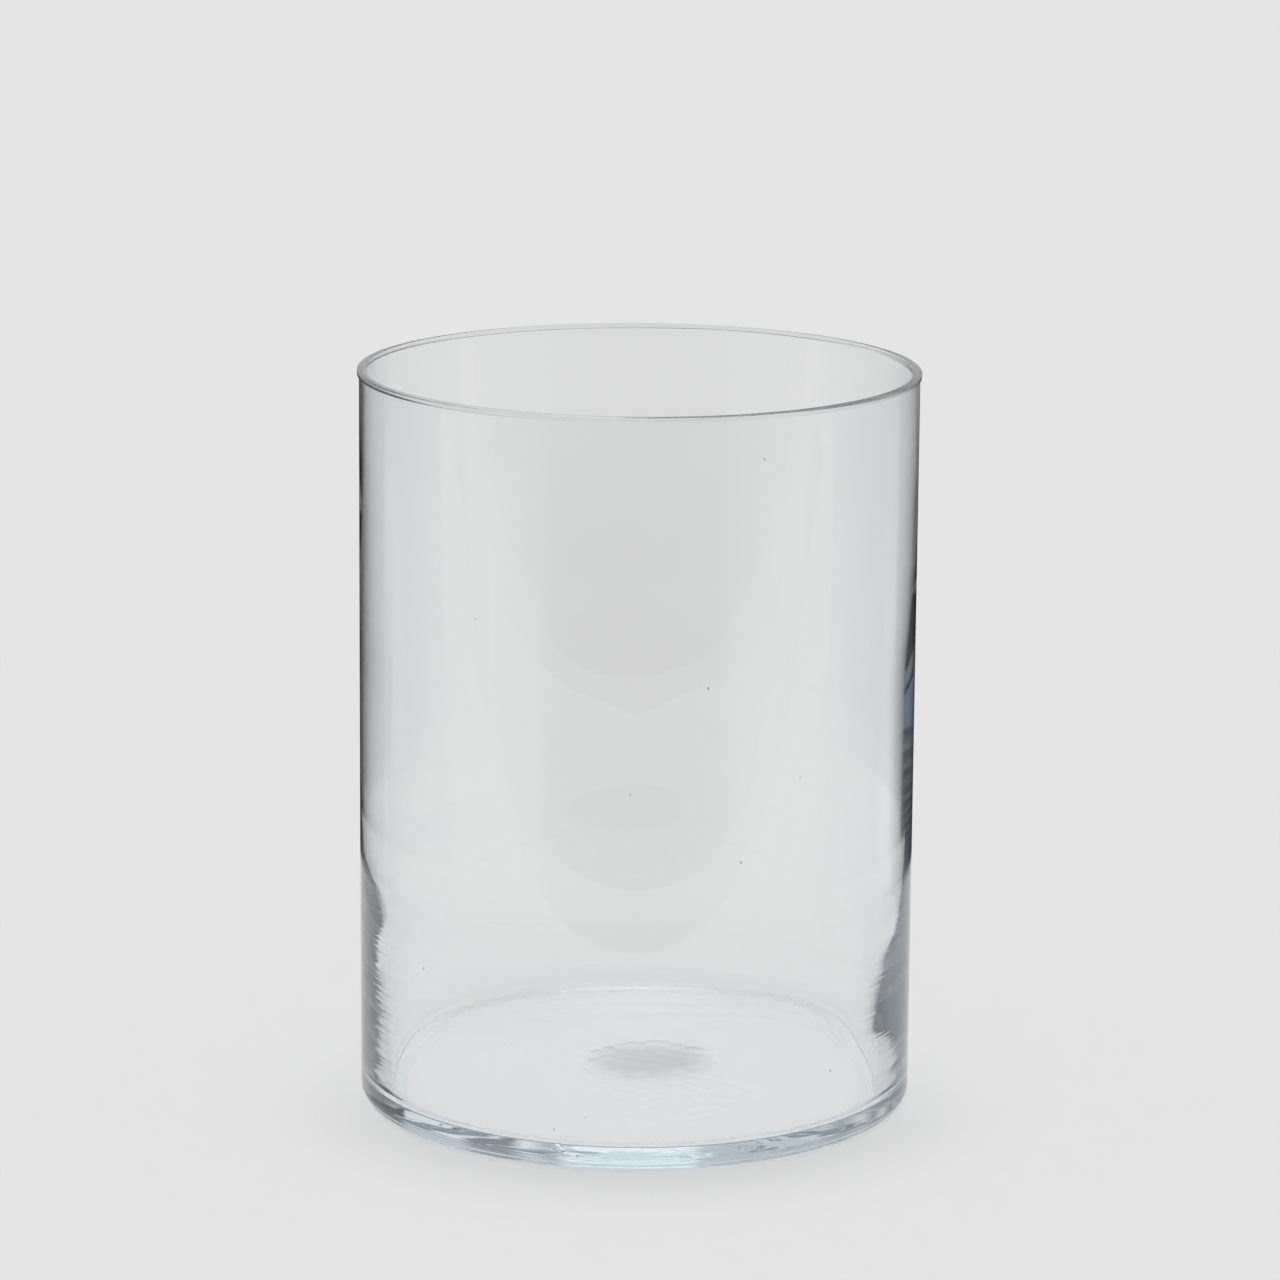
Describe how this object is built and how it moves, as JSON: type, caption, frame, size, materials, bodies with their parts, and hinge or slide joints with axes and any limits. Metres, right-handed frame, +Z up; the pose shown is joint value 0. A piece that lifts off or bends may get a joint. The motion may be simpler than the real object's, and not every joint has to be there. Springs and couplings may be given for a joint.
{
  "type": "glass cylinder vase",
  "caption": "Straight-sided clear glass cylinder vase with a rounded lip, a wall that thickens into a heavy base, a softened heel and a shallow hollow underside.",
  "frame": {"origin": "on the vase's axis, in the plane of the ring it stands on", "axes": "+Z up along the axis, from the base to the open lip; +X to the right as seen from the front, -Y towards the front"},
  "size_m": [0.1892, 0.1892, 0.252],
  "materials": {
    "clear_glass": "clear, fire-polished, with a faint cold blue-green tint where the glass is thick"
  },
  "bodies": {
    "root": {"glass_vase": "clear_glass"}
  },
  "joints": []
}
